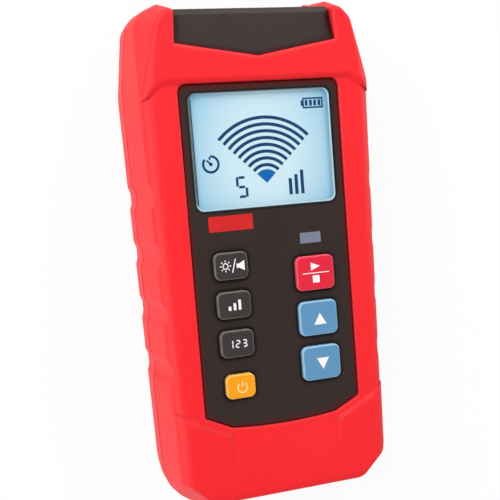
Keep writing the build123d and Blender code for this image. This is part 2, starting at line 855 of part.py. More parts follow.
with BuildPart() as lcd_glass:
    with BuildSketch(Plane.XY.offset(glass_z)):
        with Locations((0, glass_y)):
            Rectangle(glass_width, glass_height)
    extrude(amount=glass_thick)
keep(lcd_glass, "lcd_glass")

with BuildPart() as backlight_plate:
    with BuildSketch(Plane.XY.offset(backlight_z)):
        with Locations((0, window_y)):
            Rectangle(glass_width, light_height)
    extrude(amount=backlight_thick)
keep(backlight_plate, "backlight_plate")

with BuildPart() as contact_strip:
    with BuildSketch(Plane.XY.offset(backlight_z)):
        with Locations((0, strip_y)):
            Rectangle(glass_width - 2 * frame_wall, strip_width)
    extrude(amount=backlight_thick)
keep(contact_strip, "contact_strip")

with BuildPart() as lcd_frame:
    with BuildSketch(Plane.XY.offset(backlight_z)):
        with Locations((0, glass_y)):
            Rectangle(glass_width + 2 * (frame_wall + seat_gap), glass_height + 2 * (frame_wall + seat_gap))
            Rectangle(glass_width + 2 * seat_gap, glass_height + 2 * seat_gap, mode=Mode.SUBTRACT)
    extrude(amount=wall_under_z - seat_gap - backlight_z)
keep(lcd_frame, "lcd_frame")

# Keys: a soft cap through the panel, a flange that holds it in and a stem down to its contact
for name, (x, y, width, height) in keys.items():
    with BuildPart() as key:
        with BuildSketch(Plane.XY.offset(key_flange_top_z)):
            with Locations((x, y)):
                RectangleRounded(width, height, key_radius)
        extrude(amount=key_top_z - key_flange_top_z)
        fillet(key.faces().sort_by(Axis.Z)[-1].edges(), key_edge)
        with BuildSketch(Plane.XY.offset(key_flange_z)):
            with Locations((x, y)):
                Rectangle(width + 2 * key_flange, height + 2 * key_flange)
        extrude(amount=key_flange_thick)
        with BuildSketch(Plane.XY.offset(key_stem_z)):
            with Locations((x, y)):
                Rectangle(key_stem_width, key_stem_width)
        extrude(amount=key_flange_z - key_stem_z)
    keep(key, name)

# Rubber mat on the board, with a square collar round each key stem
with BuildPart() as keypad_mat:
    mat_left = left_column_x - grey_key_width / 2 - key_flange - mat_margin
    mat_right = right_column_x + wide_key_width / 2 + key_flange + mat_margin
    mat_top = grey_key_y + grey_key_height / 2 + mat_margin
    mat_low = power_key_y - power_key_height / 2 - mat_margin
    stem_hole = key_stem_width + 2 * mat_stem_gap
    with BuildSketch(Plane.XY.offset(board_top_z + seat_gap)):
        with Locations(((mat_left + mat_right) / 2, (mat_top + mat_low) / 2)):
            Rectangle(mat_right - mat_left, mat_top - mat_low)
        with Locations((lens_x, lens_y)):
            Circle(lamp_radius + mat_margin, mode=Mode.SUBTRACT)
        with Locations(*key_points):
            Rectangle(stem_hole, stem_hole, mode=Mode.SUBTRACT)
    extrude(amount=mat_thick)
    with BuildSketch(Plane.XY.offset(board_top_z + seat_gap)):
        with Locations(*key_points):
            Rectangle(stem_hole + 2 * mat_collar, stem_hole + 2 * mat_collar)
            Rectangle(stem_hole, stem_hole, mode=Mode.SUBTRACT)
    extrude(amount=collar_top_z - board_top_z - seat_gap)
keep(keypad_mat, "keypad_mat")

# Indicator lens in the panel and its lamp on the board
with BuildPart() as indicator_lens:
    with BuildSketch(Plane.XY.offset(wall_under_z - seat_gap - lens_flange_thick)):
        with Locations((lens_x, lens_y)):
            Rectangle(lens_width + 2 * lens_flange, lens_height + 2 * lens_flange)
    extrude(amount=lens_flange_thick)
    with BuildSketch(Plane.XY.offset(wall_under_z - seat_gap)):
        with Locations((lens_x, lens_y)):
            Rectangle(lens_width, lens_height)
    extrude(amount=panel_z + lens_gap + seat_gap - wall_under_z)
keep(indicator_lens, "indicator_lens")

with BuildPart() as indicator_lamp:
    with BuildSketch(Plane.XY.offset(board_top_z + seat_gap)):
        with Locations((lens_x, lens_y)):
            Circle(lamp_radius)
    extrude(amount=lamp_height)
    fillet(indicator_lamp.faces().sort_by(Axis.Z)[-1].edges(), lamp_radius / 2)
keep(indicator_lamp, "indicator_lamp")

# Circuit board, screwed to the bosses of the front case from behind
with BuildPart() as main_board:
    with BuildSketch(Plane.XY.offset(board_z)):
        with Locations((0, board_y)):
            RectangleRounded(2 * board_half, board_length, board_radius)
        with Locations(*board_screw_points):
            Circle(board_screw_radius + screw_gap, mode=Mode.SUBTRACT)
    extrude(amount=board_thick)
keep(main_board, "main_board")

with BuildPart() as board_screws:
    with BuildSketch(Plane.XY.offset(board_z - seat_gap - board_screw_head)):
        with Locations(*board_screw_points):
            Circle(board_screw_head_radius)
    extrude(amount=board_screw_head)
    with BuildSketch(Plane.XY.offset(board_z - seat_gap)):
        with Locations(*board_screw_points):
            Circle(board_screw_radius)
    extrude(amount=board_thick + board_screw_grip - seat_gap)
keep(board_screws, "board_screws")

# Parts soldered to the rear of the board
with BuildPart() as control_chip:
    with BuildSketch(Plane.XY.offset(board_z - seat_gap - chip_thick)):
        with Locations((chip_x, chip_y)):
            Rectangle(chip_size, chip_size)
    extrude(amount=chip_thick)
keep(control_chip, "control_chip")

core_mid_z = board_z - seat_gap - core_height / 2
coil_room = (core_width - 2 * core_limb) / 2
with BuildPart() as transformer_core:
    with BuildSketch(Plane.XZ.offset(-core_y - core_length / 2)):
        with Locations((core_x, core_mid_z)):
            Rectangle(core_width, core_height)
        with Locations(*[(core_x + side * (core_limb + coil_room) / 2, core_mid_z) for side in (-1, 1)]):
            Rectangle(coil_room, core_height - core_limb, mode=Mode.SUBTRACT)
    extrude(amount=core_length)
keep(transformer_core, "transformer_core")

with BuildPart() as transformer_winding:
    coil_reach = core_limb / 2 + coil_room - winding_gap
    with BuildSketch(Plane.XY.offset(core_mid_z - (core_height - core_limb) / 2 + winding_gap)):
        with Locations((core_x, core_y)):
            RectangleRounded(2 * coil_reach, core_length + 2 * (coil_room - winding_gap), core_limb / 2)
            Rectangle(core_limb + 2 * winding_gap, core_length + 2 * winding_gap, mode=Mode.SUBTRACT)
    extrude(amount=core_height - core_limb - 2 * winding_gap)
keep(transformer_winding, "transformer_winding")

with BuildPart() as capacitors:
    with BuildSketch(Plane.XY.offset(board_z - seat_gap - capacitor_height)):
        with Locations((capacitor_x, capacitor_y)):
            with GridLocations(0, capacitor_pitch, 1, capacitor_count):
                Circle(capacitor_radius)
    extrude(amount=capacitor_height)
keep(capacitors, "capacitors")

with BuildPart() as buzzer:
    with BuildSketch(Plane.XY.offset(board_z - seat_gap - buzzer_height)):
        with Locations((buzzer_x, buzzer_y)):
            Circle(buzzer_radius)
    extrude(amount=buzzer_height)
    with BuildSketch(Plane.XY.offset(board_z - seat_gap - buzzer_height)):
        with Locations((buzzer_x, buzzer_y)):
            Circle(buzzer_port_radius)
    extrude(amount=buzzer_height / 2, mode=Mode.SUBTRACT)
keep(buzzer, "buzzer")

fuse_z = board_z - fuse_drop
with BuildPart() as fuse:
    with BuildSketch(Plane.YZ.offset(-fuse_length / 2)):
        with Locations((fuse_y, fuse_z)):
            Circle(fuse_radius)
    extrude(amount=fuse_length)
keep(fuse, "fuse")

with BuildPart() as fuse_clips:
    clip_half = fuse_radius + seat_gap
    clip_top_z = board_z - seat_gap
    with BuildSketch(Plane.YZ.offset(-fuse_length / 2)):
        with BuildLine():
            Polyline((fuse_y - clip_half - clip_thick, fuse_z - fuse_radius / 2),
                     (fuse_y - clip_half, fuse_z - fuse_radius / 2),
                     (fuse_y - clip_half, clip_top_z - clip_thick),
                     (fuse_y + clip_half, clip_top_z - clip_thick),
                     (fuse_y + clip_half, fuse_z - fuse_radius / 2),
                     (fuse_y + clip_half + clip_thick, fuse_z - fuse_radius / 2),
                     (fuse_y + clip_half + clip_thick, clip_top_z),
                     (fuse_y - clip_half - clip_thick, clip_top_z),
                     close=True)
        make_face()
    extrude(amount=clip_width)
    mirror(about=Plane.YZ)
keep(fuse_clips, "fuse_clips")

# Screws that hold the halves together, driven from the back
with BuildPart() as case_screws:
    with BuildSketch(Plane.XY.offset(case_screw_seat_z - seat_gap - case_screw_head)):
        with Locations(*case_screw_points):
            Circle(case_screw_head_radius)
    extrude(amount=case_screw_head)
    with BuildSketch(Plane.XY.offset(case_screw_seat_z - seat_gap)):
        with Locations(*case_screw_points):
            Circle(case_screw_radius)
    extrude(amount=parting_z + case_screw_grip - case_screw_seat_z)
keep(case_screws, "case_screws")

# Battery door: two tabs hook into the end wall of the box and one screw holds the foot end
with BuildPart() as battery_door:
    with BuildSketch(Plane.XY.offset(back_recess)):
        with Locations((0, door_y)):
            RectangleRounded(door_width, door_length, door_radius)
    extrude(amount=door_thick)
    tab_points = [(side * door_tab_pitch / 2, box_top_y) for side in (-1, 1)]
    tab_z = room_floor_z + door_gap
    with BuildSketch(Plane.XY.offset(door_top_z)):
        with Locations(*tab_points):
            with Locations((0, -door_gap)):
                Rectangle(door_tab_width, door_tab_thick, align=(Align.CENTER, Align.MAX))
    extrude(amount=tab_z + door_tab_thick - door_top_z)
    with BuildSketch(Plane.XY.offset(tab_z)):
        with Locations(*tab_points):
            with Locations((0, door_tab_reach)):
                Rectangle(door_tab_width, door_tab_reach + door_tab_thick, align=(Align.CENTER, Align.MAX))
    extrude(amount=door_tab_thick)
    with BuildSketch(Plane.XY.offset(back_recess)):
        with Locations((0, door_top_y - thumb_rib_count * thumb_rib_pitch)):
            with GridLocations(0, thumb_rib_pitch, 1, thumb_rib_count):
                Rectangle(thumb_rib_width, thumb_rib_pitch / 2)
    extrude(amount=thumb_rib_depth, mode=Mode.SUBTRACT)
    with BuildSketch(Plane.XY.offset(back_recess)):
        with Locations((0, door_screw_y)):
            Circle(door_screw_head_radius + door_gap)
    extrude(amount=door_screw_head, mode=Mode.SUBTRACT)
    with BuildSketch(Plane.XY.offset(back_recess)):
        with Locations((0, door_screw_y)):
            Circle(door_screw_radius + screw_gap)
    extrude(amount=door_thick, mode=Mode.SUBTRACT)
keep(battery_door, "battery_door")

with BuildPart() as door_screw:
    door_screw_seat_z = back_recess + door_screw_head
    with BuildSketch(Plane.XY.offset(back_recess + seat_gap)):
        with Locations((0, door_screw_y)):
            Circle(door_screw_head_radius)
    extrude(amount=door_screw_head - 2 * seat_gap)
    with BuildSketch(Plane.XY.offset(door_screw_seat_z - seat_gap)):
        with Locations((0, door_screw_y)):
            Circle(door_screw_radius)
    extrude(amount=door_screw_grip)
keep(door_screw, "door_screw")

# Block battery with its two snaps, the snap plate that meets them and the leads to the board
with BuildPart() as battery:
    with BuildSketch(battery_plane(battery_foot_y)):
        RectangleRounded(battery_width, battery_thick, battery_edge)
    extrude(amount=battery_length)
keep(battery, "battery")

with BuildPart() as battery_snaps:
    with BuildSketch(battery_plane(battery_top_y + seat_gap)):
        with Locations((-snap_pitch / 2, 0)):
            Circle(snap_stud_radius)
        with Locations((snap_pitch / 2, 0)):
            Circle(snap_crown_radius)
            Circle(snap_stud_radius + snap_fit, mode=Mode.SUBTRACT)
    extrude(amount=snap_height - seat_gap)
keep(battery_snaps, "battery_snaps")

with BuildPart() as snap_contacts:
    with BuildSketch(battery_plane(battery_top_y + seat_gap)):
        with Locations((-snap_pitch / 2, 0)):
            Circle(snap_crown_radius)
            Circle(snap_stud_radius + snap_fit, mode=Mode.SUBTRACT)
        with Locations((snap_pitch / 2, 0)):
            Circle(snap_stud_radius)
    extrude(amount=snap_height - seat_gap)
keep(snap_contacts, "snap_contacts")

with BuildPart() as snap_plate:
    with BuildSketch(battery_plane(snap_plate_y)):
        RectangleRounded(snap_plate_width, snap_plate_height, battery_edge)
    extrude(amount=snap_plate_thick)
keep(snap_plate, "snap_plate")

with BuildPart() as battery_leads:
    lead_start_y = snap_plate_y + snap_plate_thick + seat_gap
    lead_run_y = lead_start_y + lead_room / 2
    for side in (-1, 1):
        lead_x = side * lead_pitch / 2
        with BuildLine() as route:
            FilletPolyline((lead_x, lead_start_y, battery_mid_z), (lead_x, lead_run_y, battery_mid_z),
                           (lead_x, lead_run_y, board_z - seat_gap), radius=lead_bend)
        with BuildSketch(Plane(origin=(lead_x, lead_start_y, battery_mid_z), z_dir=(0, 1, 0))):
            RegularPolygon(lead_radius, lead_sides)
        sweep(path=route.wires()[0])
keep(battery_leads, "battery_leads")
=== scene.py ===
from math import cos, pi, radians, sin, tau

import bmesh
import bpy
from mathutils import Matrix, Vector


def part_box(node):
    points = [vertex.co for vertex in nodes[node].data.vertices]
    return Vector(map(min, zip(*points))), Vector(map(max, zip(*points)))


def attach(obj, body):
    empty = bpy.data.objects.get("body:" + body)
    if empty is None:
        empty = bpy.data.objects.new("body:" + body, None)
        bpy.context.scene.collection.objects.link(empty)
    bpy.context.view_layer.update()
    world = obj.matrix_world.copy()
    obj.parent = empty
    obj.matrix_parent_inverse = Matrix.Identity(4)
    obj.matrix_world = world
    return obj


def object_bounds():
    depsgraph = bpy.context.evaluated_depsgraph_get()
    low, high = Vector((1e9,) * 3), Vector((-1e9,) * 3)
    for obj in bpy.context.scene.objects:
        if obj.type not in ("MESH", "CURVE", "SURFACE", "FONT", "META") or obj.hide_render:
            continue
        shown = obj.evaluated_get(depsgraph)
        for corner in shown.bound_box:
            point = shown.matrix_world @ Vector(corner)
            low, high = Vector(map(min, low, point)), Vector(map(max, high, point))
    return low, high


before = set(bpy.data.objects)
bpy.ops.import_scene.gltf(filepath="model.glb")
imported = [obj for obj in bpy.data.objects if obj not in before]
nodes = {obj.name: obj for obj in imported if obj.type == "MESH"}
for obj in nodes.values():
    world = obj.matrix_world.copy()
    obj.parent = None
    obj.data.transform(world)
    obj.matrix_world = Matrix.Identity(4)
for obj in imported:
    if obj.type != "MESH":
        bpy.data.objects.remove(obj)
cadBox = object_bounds()
mm = 0.001
print("frame loaded:", len(nodes), "nodes")


class Wire:  # an output socket that takes part in sums
    def __init__(self, sheet, socket):
        self.sheet = sheet
        self.socket = socket

    def math(self, operation, first, second):
        return self.sheet.add("ShaderNodeMath", {"operation": operation}, {0: first, 1: second})

    def __add__(self, other):
        return self.math("ADD", self, other)

    def __radd__(self, other):
        return self.math("ADD", other, self)

    def __sub__(self, other):
        return self.math("SUBTRACT", self, other)

    def __rsub__(self, other):
        return self.math("SUBTRACT", other, self)

    def __mul__(self, other):
        return self.math("MULTIPLY", self, other)

    def __rmul__(self, other):
        return self.math("MULTIPLY", other, self)

    def __truediv__(self, other):
        return self.math("DIVIDE", self, other)

    def __rtruediv__(self, other):
        return self.math("DIVIDE", other, self)

    def __gt__(self, other):
        return self.math("GREATER_THAN", self, other)

    def __lt__(self, other):
        return self.math("LESS_THAN", self, other)


class Sheet:  # the node sheet of one finish
    def __init__(self, tree, target):
        self.tree = tree
        tree.nodes.clear()
        self.end = tree.nodes.new(target)

    def add(self, kind, settings=None, sockets=None, give=0):
        node = self.tree.nodes.new(kind)
        for key, value in (settings or {}).items():
            if key == "stops":
                ramp = node.color_ramp
                while len(ramp.elements) < len(value):
                    ramp.elements.new(1.0)
                for element, (where, colour) in zip(ramp.elements, value):
                    element.position = where
                    element.color = colour
            else:
                setattr(node, key, value)
        for key, value in (sockets or {}).items():
            if isinstance(value, Wire):
                self.tree.links.new(value.socket, node.inputs[key])
            else:
                node.inputs[key].default_value = value
        return Wire(self, node.outputs[give])

    def close(self, shader):
        self.tree.links.new(shader.socket, self.end.inputs["Surface"])


finishes = {}
white = (1.0, 1.0, 1.0, 1.0)


def newFinish(name):
    finish = bpy.data.materials.new(name)
    finish.use_nodes = True
    finishes[name] = finish
    return Sheet(finish.node_tree, "ShaderNodeOutputMaterial")


def rgb(red, green, blue):  # screen values 0 to 255, as linear light by the screen's own curve
    def linear(value):
        share = value / 255
        return share / 12.92 if share <= 0.04045 else ((share + 0.055) / 1.055) ** 2.4
    return (linear(red), linear(green), linear(blue), 1.0)


def shade(colour, factor):
    return tuple(min(1.0, part * factor) for part in colour[:3]) + (1.0,)


def place(sheet):
    return sheet.add("ShaderNodeTexCoord", give="Object")


def axisOf(sheet, vector, axis):
    return sheet.add("ShaderNodeSeparateXYZ", None, {0: vector}, axis)


def plan(sheet):  # where a spot lies, seen from the front
    return [axisOf(sheet, place(sheet), axis) for axis in "XY"]


def rise(sheet, value, start, full, most=1.0):  # nothing at start, most at full
    return sheet.add("ShaderNodeMapRange", None, {0: value, 1: start, 2: full, 3: 0.0, 4: most})


def noise(sheet, size, detail=2.0, harsh=0.5, spot=None):  # size is the width of one patch, in millimetres
    return sheet.add("ShaderNodeTexNoise", None, {
        "Vector": spot or place(sheet), "Scale": 1 / (size * mm), "Detail": detail, "Roughness": harsh})


def mixColour(sheet, factor, first, second):
    return sheet.add("ShaderNodeMix", {"data_type": "RGBA"}, {0: factor, 6: first, 7: second}, give=2)


def bump(sheet, height, depth, soft=None):  # depth and the radius that softens the edges, in millimetres
    sockets = {"Height": height, "Distance": depth * mm}
    if soft:
        sockets["Normal"] = sheet.add("ShaderNodeBevel", {"samples": 8}, {"Radius": soft * mm})
    return sheet.add("ShaderNodeBump", None, sockets)


# Painted shade in gaps and creases: how open a spot is where it starts, and where it is darkest
creaseShadeLook = {"samples": 12, "start": 0.98, "full": 0.62}


def paintCreaseShade(sheet, colour, reach, darkest, full=creaseShadeLook["full"], share=1.0):
    opened = sheet.add("ShaderNodeAmbientOcclusion", {"samples": creaseShadeLook["samples"]},
                       {"Distance": reach * mm}, "AO")
    return mixColour(sheet, rise(sheet, opened, creaseShadeLook["start"], full) * share, colour, darkest)


# Painted dark red shade on the panel's border, where the jacket throws red light: outside these limits, in
# millimetres
borderShadeLook = {"half": 28.4, "low": -57.5, "high": 60.0, "reach": 3.0, "full": 0.84, "tint": rgb(92, 9, 10)}


def inShadedBorder(sheet):
    across, along = plan(sheet)
    beside = across * across > (borderShadeLook["half"] * mm) ** 2
    ends = along.math("MAXIMUM", along < borderShadeLook["low"] * mm, along > borderShadeLook["high"] * mm)
    return along.math("MAXIMUM", beside, ends)


# Painted highlight on the rim of a key, paler in random patches, from just under its top face down round its
# edge
keyRimHighlight = {"from": 0.01, "to": 0.18, "most": 0.85, "least": 0.7, "patch": 1.5, "patchShare": 0.5}


def paintRimHighlight(sheet):
    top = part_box("start_key")[1].z
    level = axisOf(sheet, place(sheet), "Z")
    highlighted = rise(sheet, level, top - keyRimHighlight["from"] * mm, top - keyRimHighlight["to"] * mm, keyRimHighlight["most"])
    return highlighted * (keyRimHighlight["least"] + keyRimHighlight["patchShare"] * noise(sheet, keyRimHighlight["patch"]))


# Shade where the jacket's edge turns down to the panel and the cap, within these limits in millimetres
lipShade = {"half": 33.5, "low": -66.5, "high": 63.2, "level": 0.95, "upright": 0.45, "most": 0.85}


def shadedLip(sheet):
    across, along = plan(sheet)
    lean = axisOf(sheet, sheet.add("ShaderNodeNewGeometry", give="Normal"), "Z")
    turned = rise(sheet, lean, lipShade["level"], lipShade["upright"], lipShade["most"])
    inside = across * across < (lipShade["half"] * mm) ** 2
    return turned * inside * (along > lipShade["low"] * mm) * (along < lipShade["high"] * mm)


# Moulded plastic and rubber: a cloudy tint, a fine grain in the surface, and a broken gloss
# Cloud, grain, depth and soft are in millimetres; crease is painted shade in creases: its reach, its tint and
# how closed it gets
def moulded(name, tint, cloud=30.0, drift=0.06, grain=0.35, depth=0.02, rough=0.45, spread=0.1,
            fixed=None, rimHighlight=None, creaseShade=None, soft=None, lip=None, borderShade=False):
    sheet = newFinish(name)
    clouds = noise(sheet, cloud, detail=3.0)
    speck = noise(sheet, grain, harsh=0.6)
    colour = mixColour(sheet, clouds, shade(tint, 1 - drift), shade(tint, 1 + drift))
    if rimHighlight:
        colour = mixColour(sheet, paintRimHighlight(sheet), colour, rimHighlight)
    if creaseShade:
        colour = paintCreaseShade(sheet, colour, *creaseShade)
    if borderShade:
        colour = paintCreaseShade(sheet, colour, borderShadeLook["reach"], borderShadeLook["tint"], borderShadeLook["full"],
                         inShadedBorder(sheet))
    if lip:
        colour = mixColour(sheet, shadedLip(sheet), colour, lip)
    sockets = {"Base Color": colour, "Roughness": rough + spread * (speck + clouds - 1),
               "Normal": bump(sheet, speck, depth, soft)}
    sockets.update(fixed or {})
    sheet.close(sheet.add("ShaderNodeBsdfPrincipled", None, sockets))


# Bare metal: drawn or turned lines, faint stains
metalLook = {"spread": 0.15, "line": 0.12, "stretch": (1.0, 1.0, 0.05), "depth": 0.004, "stain": 3.0,
             "stained": 0.82}


def metal(name, tint, rough):
    sheet = newFinish(name)
    drawnOut = sheet.add("ShaderNodeMapping", None, {"Vector": place(sheet), "Scale": metalLook["stretch"]})
    lines = noise(sheet, metalLook["line"], spot=drawnOut)
    stain = noise(sheet, metalLook["stain"], detail=3.0)
    sheet.close(sheet.add("ShaderNodeBsdfPrincipled", None, {
        "Base Color": mixColour(sheet, stain, shade(tint, metalLook["stained"]), tint), "Metallic": 1.0,
        "Roughness": rough + metalLook["spread"] * (lines + stain - 1),
        "Normal": bump(sheet, lines, metalLook["depth"])}))


# Clear window: mostly see-through, with the gloss of hard acrylic and a faint smear
windowClear = {"tint": (0.97, 0.985, 0.98, 1.0), "gloss": 0.05, "edge": 1.45, "share": 0.3, "haze": 0.006,
               "smear": 9.0}


def clearFinish(name, tint, gloss, edge, share, haze, smear):
    sheet = newFinish(name)
    mirror = sheet.add("ShaderNodeFresnel", None, {"IOR": edge})
    through = sheet.add("ShaderNodeBsdfTransparent", None, {"Color": tint})
    sheen = sheet.add("ShaderNodeBsdfGlossy", None, {"Color": white, "Roughness": gloss})
    outside = 1 - sheet.add("ShaderNodeNewGeometry", give="Backfacing")
    shown = (mirror * share + haze * noise(sheet, smear, detail=4.0)) * outside
    sheet.close(sheet.add("ShaderNodeMixShader", None, {0: shown, 1: through, 2: sheen}))


# Lit display: pale in the middle, deeper blue towards the sides, with the faint grid of its cells
displayLight = {
    "middle": rgb(184, 204, 215), "side": rgb(110, 168, 198), "flat": 0.1, "across": 0.75, "along": 0.3,
    "glow": 0.3, "cell": 0.6, "gap": 0.04, "gapTint": (0.94, 0.97, 0.98, 1.0), "rough": 0.35, "spread": 0.1,
    "smear": 6.0,
}


def litDisplay(name, node, look):
    sheet = newFinish(name)
    low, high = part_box(node)
    half = (high - low) / 2
    mid = (high + low) / 2
    across, along = plan(sheet)
    offX = (across - mid.x) / half.x
    offY = (along - mid.y) / half.y
    edge = sheet.add("ShaderNodeValToRGB", {"stops": [(look["flat"], look["middle"]), (1.0, look["side"])]},
                     {0: offX * offX * look["across"] + offY * offY * look["along"]})
    cells = sheet.add("ShaderNodeTexBrick", {"offset": 0.0}, {
        "Vector": place(sheet), "Scale": 1 / (look["cell"] * mm), "Color1": white, "Color2": white,
        "Mortar": look["gapTint"], "Mortar Size": look["gap"], "Brick Width": 1.0, "Row Height": 1.0})
    colour = sheet.add("ShaderNodeMix", {"data_type": "RGBA", "blend_type": "MULTIPLY"},
                       {0: 1.0, 6: edge, 7: cells}, give=2)
    sheet.close(sheet.add("ShaderNodeBsdfPrincipled", None, {
        "Base Color": colour, "Roughness": look["rough"] + look["spread"] * noise(sheet, look["smear"]),
        "Emission Color": colour, "Emission Strength": look["glow"]}))


# Circuit board: lacquer over rows of copper tracks, every other one fainter, on a woven laminate
boardLook = {
    "lacquer": rgb(18, 92, 48), "track": rgb(36, 128, 66), "faint": (0.4, 0.4, 0.4, 1.0), "pitch": 2.4,
    "length": 3.0, "width": 0.5, "gap": 0.18, "weave": 0.4, "weaveShare": 0.2, "rough": 0.25, "depth": 0.03,
}


def boardFinish(name, look):
    sheet = newFinish(name)
    tracks = sheet.add("ShaderNodeTexBrick", {"offset": 0.5}, {
        "Vector": place(sheet), "Scale": 1 / (look["pitch"] * mm), "Color1": white, "Color2": look["faint"],
        "Mortar": (0.0, 0.0, 0.0, 1.0), "Mortar Size": look["gap"], "Brick Width": look["length"],
        "Row Height": look["width"]})
    mask = tracks * 1.0  # its grey as a plain value
    weave = look["weaveShare"] * noise(sheet, look["weave"])
    sheet.close(sheet.add("ShaderNodeBsdfPrincipled", None, {
        "Base Color": mixColour(sheet, mask, look["lacquer"], look["track"]),
        "Roughness": look["rough"] + weave, "Normal": bump(sheet, mask + weave, look["depth"])}))


# Coil: turns of lacquered wire lying side by side
coilLook = {"wire": rgb(196, 104, 52), "groove": rgb(70, 32, 16), "turn": 0.4, "wander": 0.6, "metal": 0.6,
            "rough": 0.5, "polish": 0.2, "depth": 0.15}


def coilFinish(name, look):
    sheet = newFinish(name)
    bandScale = pi / (10 * look["turn"] * mm)  # at which one band is as wide as one turn
    turns = sheet.add("ShaderNodeTexWave", {"wave_type": "BANDS", "bands_direction": "Z"},
                      {"Vector": place(sheet), "Scale": bandScale, "Distortion": look["wander"]}, give=1)
    sheet.close(sheet.add("ShaderNodeBsdfPrincipled", None, {
        "Base Color": mixColour(sheet, turns, look["groove"], look["wire"]),
        "Metallic": look["metal"] * turns, "Roughness": look["rough"] - look["polish"] * turns,
        "Normal": bump(sheet, turns, look["depth"])}))


def sheenLevel(level):
    return {"Specular IOR Level": level}


# Settings that several mouldings share: the case, keys, ink, painted shade lines, window edges and display
# cells
dull = sheenLevel(0.12)
# The case's crease setting is painted shade round the keys and in its gaps
caseMould = {"cloud": 25.0, "drift": 0.08, "grain": 0.3, "depth": 0.02, "rough": 0.5, "spread": 0.12,
             "fixed": dull, "creaseShade": (3.0, rgb(17, 12, 11))}
keyMould = {"cloud": 12.0, "drift": 0.05, "grain": 0.3, "depth": 0.01, "rough": 0.42, "fixed": dull}
greyMould = dict(keyMould, drift=0.06, depth=0.015, rough=0.48)
inkMould = {"cloud": 3.0, "drift": 0.03, "grain": 0.2, "depth": 0.004, "rough": 0.5}
shadeMould = {"cloud": 6.0, "drift": 0.1, "grain": 0.3, "depth": 0.01, "rough": 0.6, "fixed": dull}
edgeMould = {"cloud": 6.0, "grain": 0.3}
cellMould = {"cloud": 4.0, "grain": 0.3, "depth": 0.002, "rough": 0.6, "fixed": sheenLevel(0.03)}

# jacketRed paints shade into its creases, and with lip a dark red shade where its edge turns down
moulded("jacketRed", rgb(239, 29, 37), cloud=45.0, drift=0.03, grain=0.45, depth=0.012, rough=0.5,
        spread=0.08, fixed=sheenLevel(0.2), creaseShade=(0.8, rgb(214, 25, 32)), soft=1.8, lip=rgb(124, 13, 16))
moulded("caseBlack", rgb(44, 33, 30), **caseMould)
# panelBlack paints a dark red shade along the panel's border
moulded("panelBlack", rgb(44, 33, 30), **caseMould, borderShade=True)
# capBlack paints a dark red shade round its edges, along the jacket's pointed edge
moulded("capBlack", rgb(49, 38, 35), cloud=20.0, drift=0.08, grain=0.4, depth=0.03, rough=0.42, spread=0.12,
        fixed=sheenLevel(0.1), creaseShade=(3.0, rgb(44, 8, 8), 0.86))
moulded("wellRed", rgb(200, 24, 28), rough=0.4)
moulded("wellBlack", rgb(30, 29, 29), rough=0.4)
# Each key's second colour is a painted highlight on its rounded rim
moulded("keyGrey", rgb(55, 48, 48), **greyMould, rimHighlight=rgb(118, 111, 108))
moulded("keyRed", rgb(220, 37, 60), **keyMould, rimHighlight=rgb(240, 92, 110))
moulded("keyBlue", rgb(93, 144, 183), **keyMould, rimHighlight=rgb(160, 206, 230))
moulded("keyOrange", rgb(244, 157, 22), **keyMould, rimHighlight=rgb(252, 196, 104))
moulded("matGrey", rgb(150, 150, 146), rough=0.6)
moulded("lensGrey", rgb(118, 125, 142), cloud=4.0, drift=0.1, grain=0.5, depth=0.006, rough=0.25, spread=0.06,
        fixed=dull)
moulded("lampClear", rgb(214, 222, 214), cloud=2.0, rough=0.15, spread=0.05)
moulded("frameWhite", rgb(226, 226, 220), rough=0.5)
moulded("lightWhite", rgb(238, 244, 246), rough=0.4)
moulded("stripGrey", rgb(96, 96, 100), grain=0.2, rough=0.6)
moulded("chipBlack", rgb(26, 26, 28), grain=0.15, rough=0.55)
moulded("coreDark", rgb(48, 46, 46), grain=0.2, depth=0.03, rough=0.65)
moulded("batteryShell", rgb(44, 52, 70), cloud=15.0, rough=0.3)
moulded("leadSleeve", rgb(150, 26, 24), rough=0.45)
moulded("fuseGlass", rgb(214, 224, 224), cloud=5.0, rough=0.12, spread=0.04)
metal("jackBrass", rgb(214, 178, 104), rough=0.28)
metal("screwSteel", rgb(176, 176, 180), rough=0.34)
metal("canAlu", rgb(200, 202, 206), rough=0.36)
metal("clipTin", rgb(206, 206, 200), rough=0.32)
metal("snapNickel", rgb(208, 204, 194), rough=0.26)
clearFinish("windowClear", **windowClear)
litDisplay("displayLight", "lcd_glass", displayLight)
boardFinish("boardGreen", boardLook)
coilFinish("coilCopper", coilLook)
moulded("inkWhite", rgb(240, 238, 236), **inkMould)
moulded("inkCream", rgb(244, 214, 150), **inkMould)
moulded("inkRed", rgb(204, 36, 38), cloud=5.0, drift=0.04, grain=0.25, depth=0.006, rough=0.45, fixed=dull)
# The next two are painted shade: dark lines that stand in for shadow in gaps and along edges
moulded("shadeDark", rgb(20, 14, 13), **shadeMould)
moulded("shadeMaroon", rgb(48, 6, 7), **shadeMould)
# The three window edges: a painted highlight, a painted shadow, and a frosted edge with a painted highlight
moulded("edgeGleam", rgb(178, 214, 226), **edgeMould, drift=0.08, depth=0.004, rough=0.3)
moulded("shadowNavy", rgb(34, 54, 74), **edgeMould, drift=0.1, depth=0.004, rough=0.5, fixed=dull)
moulded("frostAndHighlight", rgb(94, 108, 116), **edgeMould, drift=0.2, depth=0.006, rough=0.35)
moulded("cellBlue", rgb(0, 62, 110), **cellMould, drift=0.12)
moulded("cellBright", rgb(2, 100, 178), **cellMould, drift=0.1)
print("finishes made:", len(finishes))

